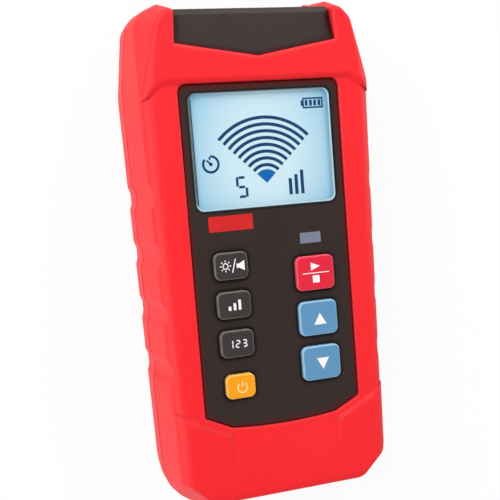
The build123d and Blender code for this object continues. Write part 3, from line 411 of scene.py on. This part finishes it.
nodeFinish = {
    "front_jacket": "jacketRed", "rear_jacket": "jacketRed", "front_case": "panelBlack",
    "rear_case": "caseBlack", "terminal_cap": "capBlack", "live_well": "wellRed", "ground_well": "wellBlack",
    "live_jack": "jackBrass", "ground_jack": "jackBrass", "display_window": "windowClear",
    "lcd_glass": "displayLight", "backlight_plate": "lightWhite", "contact_strip": "stripGrey",
    "lcd_frame": "frameWhite", "light_key": "keyGrey", "level_key": "keyGrey", "code_key": "keyGrey",
    "power_key": "keyOrange", "start_key": "keyRed", "up_key": "keyBlue", "down_key": "keyBlue",
    "keypad_mat": "matGrey", "indicator_lens": "lensGrey", "indicator_lamp": "lampClear",
    "main_board": "boardGreen", "board_screws": "screwSteel", "control_chip": "chipBlack",
    "transformer_core": "coreDark", "transformer_winding": "coilCopper", "capacitors": "canAlu",
    "buzzer": "chipBlack", "fuse": "fuseGlass", "fuse_clips": "clipTin", "case_screws": "screwSteel",
    "battery_door": "caseBlack", "door_screw": "screwSteel", "battery": "batteryShell",
    "battery_snaps": "snapNickel", "snap_contacts": "snapNickel", "snap_plate": "chipBlack",
    "battery_leads": "leadSleeve",
}
for name, node in nodes.items():
    for spot in node.material_slots:
        spot.material = finishes[nodeFinish[name]]
print("nodes dressed:", len(nodeFinish))


# Flat outlines, in millimetres round a point
def box(x, y, width, height):
    return [(x - width / 2, y - height / 2), (x + width / 2, y - height / 2),
            (x + width / 2, y + height / 2), (x - width / 2, y + height / 2)]


def arc(x, y, radius, turns):
    return [(x + radius * cos(turn), y + radius * sin(turn)) for turn in turns]


def arcBand(x, y, inner, outer, first, last, steps=28):
    turns = [radians(first + (last - first) * step / steps) for step in range(steps + 1)]
    if inner == 0:
        return arc(x, y, outer, turns) + [(x, y)]
    return arc(x, y, outer, turns) + arc(x, y, inner, reversed(turns))


def disc(x, y, radius, steps=24):
    return arc(x, y, radius, [tau * step / steps for step in range(steps)])


def stroke(start, end, width):
    run = Vector(end) - Vector(start)
    side = Vector((-run.y, run.x)).normalized() * width / 2
    return [tuple(Vector(start) - side), tuple(Vector(end) - side),
            tuple(Vector(end) + side), tuple(Vector(start) + side)]


def roundedBox(x, y, width, height, radius, steps=5):
    loop = []
    for corner, (signX, signY) in enumerate(((1, 1), (-1, 1), (-1, -1), (1, -1))):
        turns = [(corner + step / steps) * pi / 2 for step in range(steps + 1)]
        loop += arc(x + signX * (width / 2 - radius), y + signY * (height / 2 - radius), radius, turns)
    return loop


def grownBox(width, height, radius, grow):
    return roundedBox(0, 0, width + 2 * grow, height + 2 * grow, radius + grow)


def risingBars(x, foot, heights, step, width):
    return [box(x + order * step, foot + height / 2, width, height) for order, height in enumerate(heights)]


# Seven-segment figures: which bars each figure lights, and the gap between bars as a share of a bar
figureBars = {"1": "bc", "2": "abged", "3": "abgcd", "5": "afgcd"}
figureGap = 0.12


def figure(sign, x, y, width, height, bar):
    gap = bar * figureGap
    half = height / 2
    level = {"a": half - bar / 2, "g": 0, "d": bar / 2 - half}
    upright = {"b": (1, 1), "c": (1, -1), "e": (-1, -1), "f": (-1, 1)}
    loops = []
    for part in figureBars[sign]:
        if part in level:
            loops.append(box(x, y + level[part], width - 2 * bar - 2 * gap, bar))
        else:
            signX, signY = upright[part]
            barX = x + signX * (width - bar) / 2
            loops.append(box(barX, y + signY * half / 2, bar, half - bar / 2 - gap))
    return loops


# Where a node's points lie, and the reach of some points along one axis
def nodePoints(name):
    return [nodes[name].matrix_world @ point.co for point in nodes[name].data.vertices]


def reachOf(points, axis):
    return [pick(point[axis] for point in points) for pick in (min, max)]


def newPiece(name, work, finish, body):
    bmesh.ops.recalc_face_normals(work, faces=work.faces)
    mesh = bpy.data.meshes.new(name)
    work.to_mesh(mesh)
    work.free()
    mesh.materials.append(finishes[finish])
    piece = bpy.data.objects.new(name, mesh)
    bpy.context.scene.collection.objects.link(piece)
    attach(piece, body)
    return piece


# A thin printed layer: closed loops round a point, raised a little above the face that carries them
def printed(name, loops, middle, face, thick, finish, body):
    work = bmesh.new()
    for loop in loops:
        ring = [work.verts.new((middle[0] + x * mm, middle[1] + y * mm, face)) for x, y in loop]
        raised = bmesh.ops.extrude_face_region(work, geom=[work.faces.new(ring)])["geom"]
        bmesh.ops.translate(work, vec=(0, 0, thick * mm),
                            verts=[part for part in raised if isinstance(part, bmesh.types.BMVert)])
    return newPiece(name, work, finish, body)


# A thin closed band on the housing: loops of as many points, each with its height above the face
def band(name, loops, middle, face, finish):
    work = bmesh.new()
    rings = [[work.verts.new((middle[0] + x * mm, middle[1] + y * mm, face + lift * mm)) for x, y in loop]
             for loop, lift in loops]
    for ring, following in zip(rings, rings[1:] + rings[:1]):
        for step in range(len(ring)):
            work.faces.new((ring[step - 1], ring[step], following[step], following[step - 1]))
    return newPiece(name, work, finish, "housing")


def flatRing(name, outer, inner, middle, face, thick, finish):
    loops = [(inner, 0.0), (outer, 0.0), (outer, thick), (inner, thick)]
    return band(name, loops, middle, face, finish)


windowLow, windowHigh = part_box("display_window")
windowMid = (windowLow + windowHigh) / 2
windowSize = (windowHigh - windowLow) / mm
panelFace = windowHigh.z  # the window lies level with the panel
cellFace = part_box("lcd_glass")[1].z
cellThick = 0.03


# A cell of the display, in millimetres round the middle of the window
def showCells(name, loops, finish="cellBlue"):
    return printed(name, loops, windowMid, cellFace, cellThick, finish, "housing")


# A fan of signal arcs over a bright wedge
fan = {"apex": (0.85, -12.4), "arcs": 8, "first": 6.65, "step": 2.46, "width": 1.2, "wedge": 5.0,
       "spread": 46.2}
fanSides = (90 - fan["spread"], 90 + fan["spread"])
fanRadii = [fan["first"] + order * fan["step"] for order in range(fan["arcs"])]
arcHalf = fan["width"] / 2
showCells("signalArcs", [arcBand(*fan["apex"], radius - arcHalf, radius + arcHalf, *fanSides)
                         for radius in fanRadii])
showCells("signalWedge", [arcBand(*fan["apex"], 0, fan["wedge"], *fanSides)], "cellBright")

# A charge sign: a frame of thin lines with a tip at its left and bars inside
charge = {"at": (20.95, 15.7), "size": (8.1, 3.9), "line": 0.6, "bars": 4, "bar": (1.1, 2.1), "step": 1.7,
          "tip": 0.7}
chargeX, chargeY = charge["at"]
chargeWidth, chargeHeight = charge["size"]
chargeLine = charge["line"]
chargeLoops = [box(chargeX, chargeY + side * (chargeHeight - chargeLine) / 2, chargeWidth, chargeLine)
               for side in (-1, 1)]
chargeLoops += [box(chargeX + side * (chargeWidth - chargeLine) / 2, chargeY, chargeLine,
                    chargeHeight - 2 * chargeLine) for side in (-1, 1)]
chargeLoops.append(box(chargeX - (chargeWidth + charge["tip"]) / 2, chargeY, charge["tip"], chargeHeight / 2))
chargeLoops += [box(chargeX + (order - (charge["bars"] - 1) / 2) * charge["step"], chargeY, *charge["bar"])
                for order in range(charge["bars"])]
showCells("chargeSign", chargeLoops)

# A timer sign: tick, hand and hub are measured in lines, and the hand's reach in radii
timer = {"at": (-20.0, -4.2), "radius": 3.3, "line": 0.88, "turns": (-220, 90), "tick": (0.7, 1.4),
         "tickDrop": 1.3, "hand": 0.62, "handTurn": 135, "handLine": 0.7, "hub": 0.75}
timerX, timerY = timer["at"]
timerRadius = timer["radius"]
timerLine = timer["line"]
tickWidth, tickHeight = [extent * timerLine for extent in timer["tick"]]
tickY = timerY + timerRadius - timer["tickDrop"] * timerLine
handEnd = arc(timerX, timerY, timer["hand"] * timerRadius, [radians(timer["handTurn"])])[0]
showCells("timerSign", [
    arcBand(timerX, timerY, timerRadius - timerLine, timerRadius, *timer["turns"]),
    box(timerX - tickWidth / 2, tickY, tickWidth, tickHeight),
    stroke((timerX, timerY), handEnd, timer["handLine"] * timerLine),
    disc(timerX, timerY, timer["hub"] * timerLine)])

# One figure, and three level bars
codeFigure = {"at": (-8.9, -13.2), "size": (4.4, 7.9), "bar": 0.95}
showCells("codeFigure", figure("5", *codeFigure["at"], *codeFigure["size"], codeFigure["bar"]))
levelBars = {"at": (9.9, -17.35), "heights": (6.0, 7.3, 8.8), "step": 2.35, "width": 1.3}
showCells("levelBars", risingBars(*levelBars["at"], levelBars["heights"], levelBars["step"],
                                  levelBars["width"]))
print("display picture made")

# Frosted edge of the window with a painted highlight, a thin sloped band all round it
windowRim = {"slope": 0.4, "radius": 3.0, "thick": 0.03}


def roundWindow(grow):
    return grownBox(windowSize.x, windowSize.y, windowRim["radius"], grow)


rimSlope = windowRim["slope"]
rimThick = windowRim["thick"]
rimSteps = [(-rimSlope, 0.0), (0.0, -rimSlope), (rimThick, rimThick - rimSlope),
            (rimThick - rimSlope, rimThick)]
band("windowRim", [(roundWindow(grow), lift) for grow, lift in rimSteps], windowMid, windowHigh.z,
     "frostAndHighlight")

# Painted light: the lit display finish on the ledge under the window, on all sides but the left, which is
# left in shade
ledgeLight = {"ledge": 1.05, "edge": 0.05, "bare": 0.9, "radius": 2.0, "thick": 0.03, "drop": 0.04}
lipBare = ledgeLight["bare"]
lipOuter = [extent - 2 * ledgeLight["edge"] for extent in (windowSize.x - lipBare, windowSize.y)]
lipInner = [extent - 2 * ledgeLight["ledge"] for extent in (windowSize.x, windowSize.y)]
flatRing("ledgeLight", roundedBox(lipBare / 2, 0, *lipOuter, windowRim["radius"]),
         roundedBox(0, 0, *lipInner, ledgeLight["radius"]), windowMid, windowLow.z - ledgeLight["drop"] * mm,
         ledgeLight["thick"], "displayLight")

# Painted shadow: a dark strip down the left of the display, where the window's left wall shades it
displayShadowStrip = {"from": 0.8, "width": 0.8, "short": 2.4}
shadowStripX = displayShadowStrip["from"] + displayShadowStrip["width"] / 2 - windowSize.x / 2
shadowStripHeight = windowSize.y - 2 * displayShadowStrip["short"]
showCells("displayShadowStrip", [box(shadowStripX, 0, displayShadowStrip["width"], shadowStripHeight)], "shadowNavy")

# Painted shadow: a dark line round the window, where its pocket shows as a shaded gap
windowShadowLine = {"gap": 0.06, "width": 0.55, "thick": 0.02}
flatRing("windowShadowLine", roundWindow(windowShadowLine["gap"] + windowShadowLine["width"]), roundWindow(windowShadowLine["gap"]),
         windowMid, panelFace, windowShadowLine["thick"], "shadeDark")

# Painted highlight where the window's edge turns down at the right and below, almost nothing on the other
# sides
windowGleam = {"inset": 0.42, "width": 0.45, "least": 0.02, "radius": 2.6, "thick": 0.02}
gleamShift = (windowGleam["width"] - windowGleam["least"]) / 2
gleamOuter = [extent - 2 * windowGleam["inset"] for extent in (windowSize.x, windowSize.y)]
gleamInner = [extent - windowGleam["width"] - windowGleam["least"] for extent in gleamOuter]
flatRing("windowGleam", roundedBox(0, 0, *gleamOuter, windowGleam["radius"]),
         roundedBox(-gleamShift, gleamShift, *gleamInner, windowGleam["radius"]), windowMid, windowHigh.z,
         windowGleam["thick"], "edgeGleam")
print("window rim, display lip and lines made")

signThick = 0.04


# Signs printed on the keys, each loop in millimetres round the middle of its key
def keySign(key, loops, finish="inkWhite"):
    low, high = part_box(key)
    return printed(key + "Sign", loops, (low + high) / 2, high.z, signThick, finish, key)


# A sun, a slash and a horn; the sun's ring stops just short of a full turn, so that it stays one loop
sun = {"at": (-2.3, 0.1), "disc": 1.15, "line": 0.35, "turns": (0, 359.9), "rays": 8, "rayFrom": 1.5,
       "rayTo": 2.15}
slash = {"ends": ((0.2, -2.4), (1.6, 2.5)), "line": 0.38}
horn = {"at": (3.4, -0.1), "size": (3.0, 3.8), "neck": (1 / 6, 1 / 5)}
lightLoops = [arcBand(*sun["at"], sun["disc"] - sun["line"], sun["disc"], *sun["turns"])]
rayTurns = [tau * order / sun["rays"] for order in range(sun["rays"])]
rayEnds = zip(arc(*sun["at"], sun["rayFrom"], rayTurns), arc(*sun["at"], sun["rayTo"], rayTurns))
lightLoops += [stroke(*ends, sun["line"]) for ends in rayEnds]
lightLoops.append(stroke(*slash["ends"], slash["line"]))
hornX, hornY = horn["at"]
hornWidth, hornHeight = horn["size"]
neckX, neckY = [extent * share for extent, share in zip(horn["size"], horn["neck"])]
hornHalf = [(hornX - hornWidth / 2, neckY), (hornX - neckX, neckY), (hornX + hornWidth / 2, hornHeight / 2)]
lightLoops.append([(x, hornY - y) for x, y in hornHalf] + [(x, hornY + y) for x, y in reversed(hornHalf)])
keySign("light_key", lightLoops)

# Three rising bars
keyBars = {"heights": (1.5, 2.6, 3.7), "step": 1.9, "width": 1.0}
keySign("level_key", risingBars(-keyBars["step"], -max(keyBars["heights"]) / 2, keyBars["heights"],
                                keyBars["step"], keyBars["width"]))

# Three figures
keyFigures = {"signs": "123", "size": (1.75, 2.9), "step": 2.6, "bar": 0.42}
keySign("code_key", [loop for order, sign in enumerate(keyFigures["signs"])
                     for loop in figure(sign, (order - 1) * keyFigures["step"], 0, *keyFigures["size"],
                                        keyFigures["bar"])])

# A play sign over a stop sign with a rule between them; the gap is measured in the rule's height
playStop = {"play": (3.6, 3.0), "stop": 2.7, "rule": (10.6, 0.32), "gap": 3.0}
playWidth, playHeight = playStop["play"]
ruleGap = playStop["gap"] * playStop["rule"][1]
keySign("start_key", [
    [(-playWidth / 2, ruleGap), (playWidth / 2, ruleGap + playHeight / 2),
     (-playWidth / 2, ruleGap + playHeight)],
    box(0, 0, *playStop["rule"]),
    box(0, -playStop["stop"] / 2 - ruleGap, playStop["stop"], playStop["stop"])])

# An arrow up and an arrow down
arrow = {"at": (0.4, -0.3), "size": (5.0, 4.3)}
arrowX, arrowY = arrow["at"]
arrowWidth, arrowHeight = arrow["size"]
for key, way in (("up_key", 1), ("down_key", -1)):
    footY = arrowY - way * arrowHeight / 2
    keySign(key, [[(arrowX - arrowWidth / 2, footY), (arrowX + arrowWidth / 2, footY),
                   (arrowX, arrowY + way * arrowHeight / 2)]])

# An open ring with a bar, whose place and length are measured in radii
power = {"at": (0.45, -0.4), "radius": 2.05, "line": 0.46, "turns": (128, 412), "bar": (0.62, 0.95)}
powerX, powerY = power["at"]
barPlace, barLength = [share * power["radius"] for share in power["bar"]]
keySign("power_key", [
    arcBand(powerX, powerY, power["radius"] - power["line"], power["radius"], *power["turns"]),
    box(powerX, powerY + barPlace, power["line"], barLength)], "inkCream")
print("key signs made")

# Painted shadow: a dark line round each key, where the edge of its opening turns down
keyShadowLine = {"gap": 0.5, "width": 0.65, "radius": 2.3, "thick": 0.02, "above": 0.3}
for key in ("light_key", "level_key", "code_key", "power_key", "start_key", "up_key", "down_key"):
    capPoints = [point for point in nodePoints(key) if point.z > panelFace + keyShadowLine["above"] * mm]
    left, right = reachOf(capPoints, 0)
    low, high = reachOf(capPoints, 1)
    outerLoop, innerLoop = [grownBox((right - left) / mm, (high - low) / mm, keyShadowLine["radius"], grow)
                            for grow in (keyShadowLine["gap"] + keyShadowLine["width"], keyShadowLine["gap"])]
    flatRing(key + "Line", outerLoop, innerLoop, ((left + right) / 2, (low + high) / 2), panelFace,
             keyShadowLine["thick"], "shadeDark")
print("key lines made")

# Bare plate printed on the panel under the window
panelPlate = {"middle": (-14.8, -25.75), "size": (16.8, 5.6), "radius": 0.4, "thick": 0.04}
printed("panelPlate", [roundedBox(*panelPlate["middle"], *panelPlate["size"], panelPlate["radius"])],
        windowMid, panelFace, panelPlate["thick"], "inkRed", "housing")
print("panel plate made")

# Painted shadow: a dark red line on the sloped face of the cap, along the jacket's pointed edge
capShadowLine = {"inset": 0.02, "width": 1.1, "thick": 0.02, "above": 40.0}
capPoints = [point / mm for point in nodePoints("terminal_cap") if point.z > capShadowLine["above"] * mm]
capTip = min(capPoints, key=lambda point: point.y)
capCorner = min(capPoints, key=lambda point: point.x)
capSlope = (capTip.z - capCorner.z) / (capTip.y - capCorner.y)
cornerY = capCorner.y + capShadowLine["inset"]
nearEdge = [(capCorner.x, cornerY), (0.0, capTip.y + capShadowLine["inset"]), (-capCorner.x, cornerY)]
farEdge = [(x, y + capShadowLine["width"]) for x, y in reversed(nearEdge)]
strip = printed("capShadowLine", [nearEdge + farEdge], (0.0, 0.0), capTip.z * mm, capShadowLine["thick"], "shadeMaroon",
                "housing")
for point in strip.data.vertices:
    point.co.z += (point.co.y - capTip.y * mm) * capSlope
print("cap line made")

# Painted shade in place of the cross recess in each screw head at the back: points this near belong to one
# head
screwCross = {"reach": 2.3, "width": 0.55, "thick": 0.04, "band": 0.05, "near": 8.0}
for screws in ("case_screws", "door_screw"):
    points = nodePoints(screws)
    headFace = min(point.z for point in points)
    heads = []
    for point in points:
        if point.z > headFace + screwCross["band"] * mm:
            continue
        found = [head for head in heads if (head[0] - point).length < screwCross["near"] * mm]
        if found:
            found[0].append(point)
        else:
            heads.append([point])
    crossLoops = []
    for head in heads:
        headX, headY = [sum(reachOf(head, axis)) / (2 * mm) for axis in (0, 1)]
        crossLoops.append(box(headX, headY, screwCross["reach"], screwCross["width"]))
        crossLoops.append(box(headX, headY, screwCross["width"], screwCross["reach"]))
    printed(screws + "Cross", crossLoops, (0.0, 0.0), headFace - screwCross["thick"] * mm,
            screwCross["thick"], "shadeDark", "housing")
    print(screws, "heads:", len(heads))

# Stage: pale floor, soft lights, and the camera where the photograph was taken
stageLook = {"floorSize": 6.0, "floor": (0.9, 0.9, 0.9, 1.0), "seen": 0.92, "sky": 0.42, "gap": 0.05}
lamps = {
    "keyLamp": {"at": (-0.6, 0.5, 0.7), "size": 0.5, "power": 6.6, "lights": True},
    "topLamp": {"at": (0.32, 0.8, 0.5), "size": 0.35, "power": 3.2, "lights": True},
    "fillLamp": {"at": (0.6, -0.25, 0.65), "size": 0.8, "power": 1.4, "lights": True},
    "frontLamp": {"at": (-0.5, -0.8, 0.25), "size": 0.6, "power": 2.3, "lights": True},
    "leftCard": {"at": (-1.0, -0.1, 0.33), "size": 0.8, "power": 10.0, "lights": False},
    "rightCard": {"at": (1.0, 0.25, 0.2), "size": 0.6, "power": 5.0, "lights": False},
    "stepCard": {"at": (-0.3, 0.65, 0.75), "size": 0.35, "power": 6.0, "lights": False},
    "topCard": {"at": (0.4, 1.0, 0.25), "size": 0.5, "power": 5.0, "lights": False},
}
view = {"eye": (-0.1083, 0.0278, 0.3524), "pitch": 6.053, "yaw": 17.635, "roll": 4.569, "lens": 64.8,
        "lift": 0.05}


def seenDirectly(sheet):
    camera, glossy, through = [sheet.add("ShaderNodeLightPath", give=name)
                               for name in ("Is Camera Ray", "Is Glossy Ray", "Is Transmission Ray")]
    return camera.math("MINIMUM", camera + glossy + through, 1.0)


sheet = newFinish("floorPale")
matt = sheet.add("ShaderNodeBsdfDiffuse", None, {"Color": stageLook["floor"]})
pale = sheet.add("ShaderNodeEmission", None, {"Color": white, "Strength": 1.0})
floorShare = seenDirectly(sheet) * stageLook["seen"]
sheet.close(sheet.add("ShaderNodeMixShader", None, {0: floorShare, 1: matt, 2: pale}))
work = bmesh.new()
bmesh.ops.create_grid(work, x_segments=1, y_segments=1, size=stageLook["floorSize"] / 2)
floorMesh = bpy.data.meshes.new("floor")
work.to_mesh(floorMesh)
work.free()
floorMesh.materials.append(finishes["floorPale"])
floor = bpy.data.objects.new("floor", floorMesh)
floor.location.z = cadBox[0].z - stageLook["gap"] * mm
bpy.context.scene.collection.objects.link(floor)

world = bpy.data.worlds.new("studio")
bpy.context.scene.world = world
world.use_nodes = True
sheet = Sheet(world.node_tree, "ShaderNodeOutputWorld")
direct = seenDirectly(sheet)
sheet.close(sheet.add("ShaderNodeBackground", None, {
    "Color": white, "Strength": direct + (1 - direct) * stageLook["sky"]}))

for name, lamp in lamps.items():
    light = bpy.data.lights.new(name, "AREA")
    light.energy = lamp["power"]
    light.size = lamp["size"]
    holder = bpy.data.objects.new(name, light)
    holder.location = lamp["at"]
    holder.visible_diffuse = lamp["lights"]  # a card shows only as a sheen
    holder.rotation_euler = (-Vector(lamp["at"])).to_track_quat("-Z", "Y").to_euler()
    bpy.context.scene.collection.objects.link(holder)

lens = bpy.data.cameras.new("camera")
lens.lens = view["lens"]
lens.shift_y = view["lift"]
camera = bpy.data.objects.new("camera", lens)
turned = (Matrix.Rotation(radians(view["roll"]), 4, "Z") @ Matrix.Rotation(radians(view["pitch"]), 4, "X")
          @ Matrix.Rotation(radians(view["yaw"]), 4, "Y"))
camera.matrix_world = Matrix.Translation(view["eye"]) @ turned.transposed()
bpy.context.scene.collection.objects.link(camera)
bpy.context.scene.camera = camera
bpy.context.scene.view_settings.view_transform = "Standard"
print("stage set")
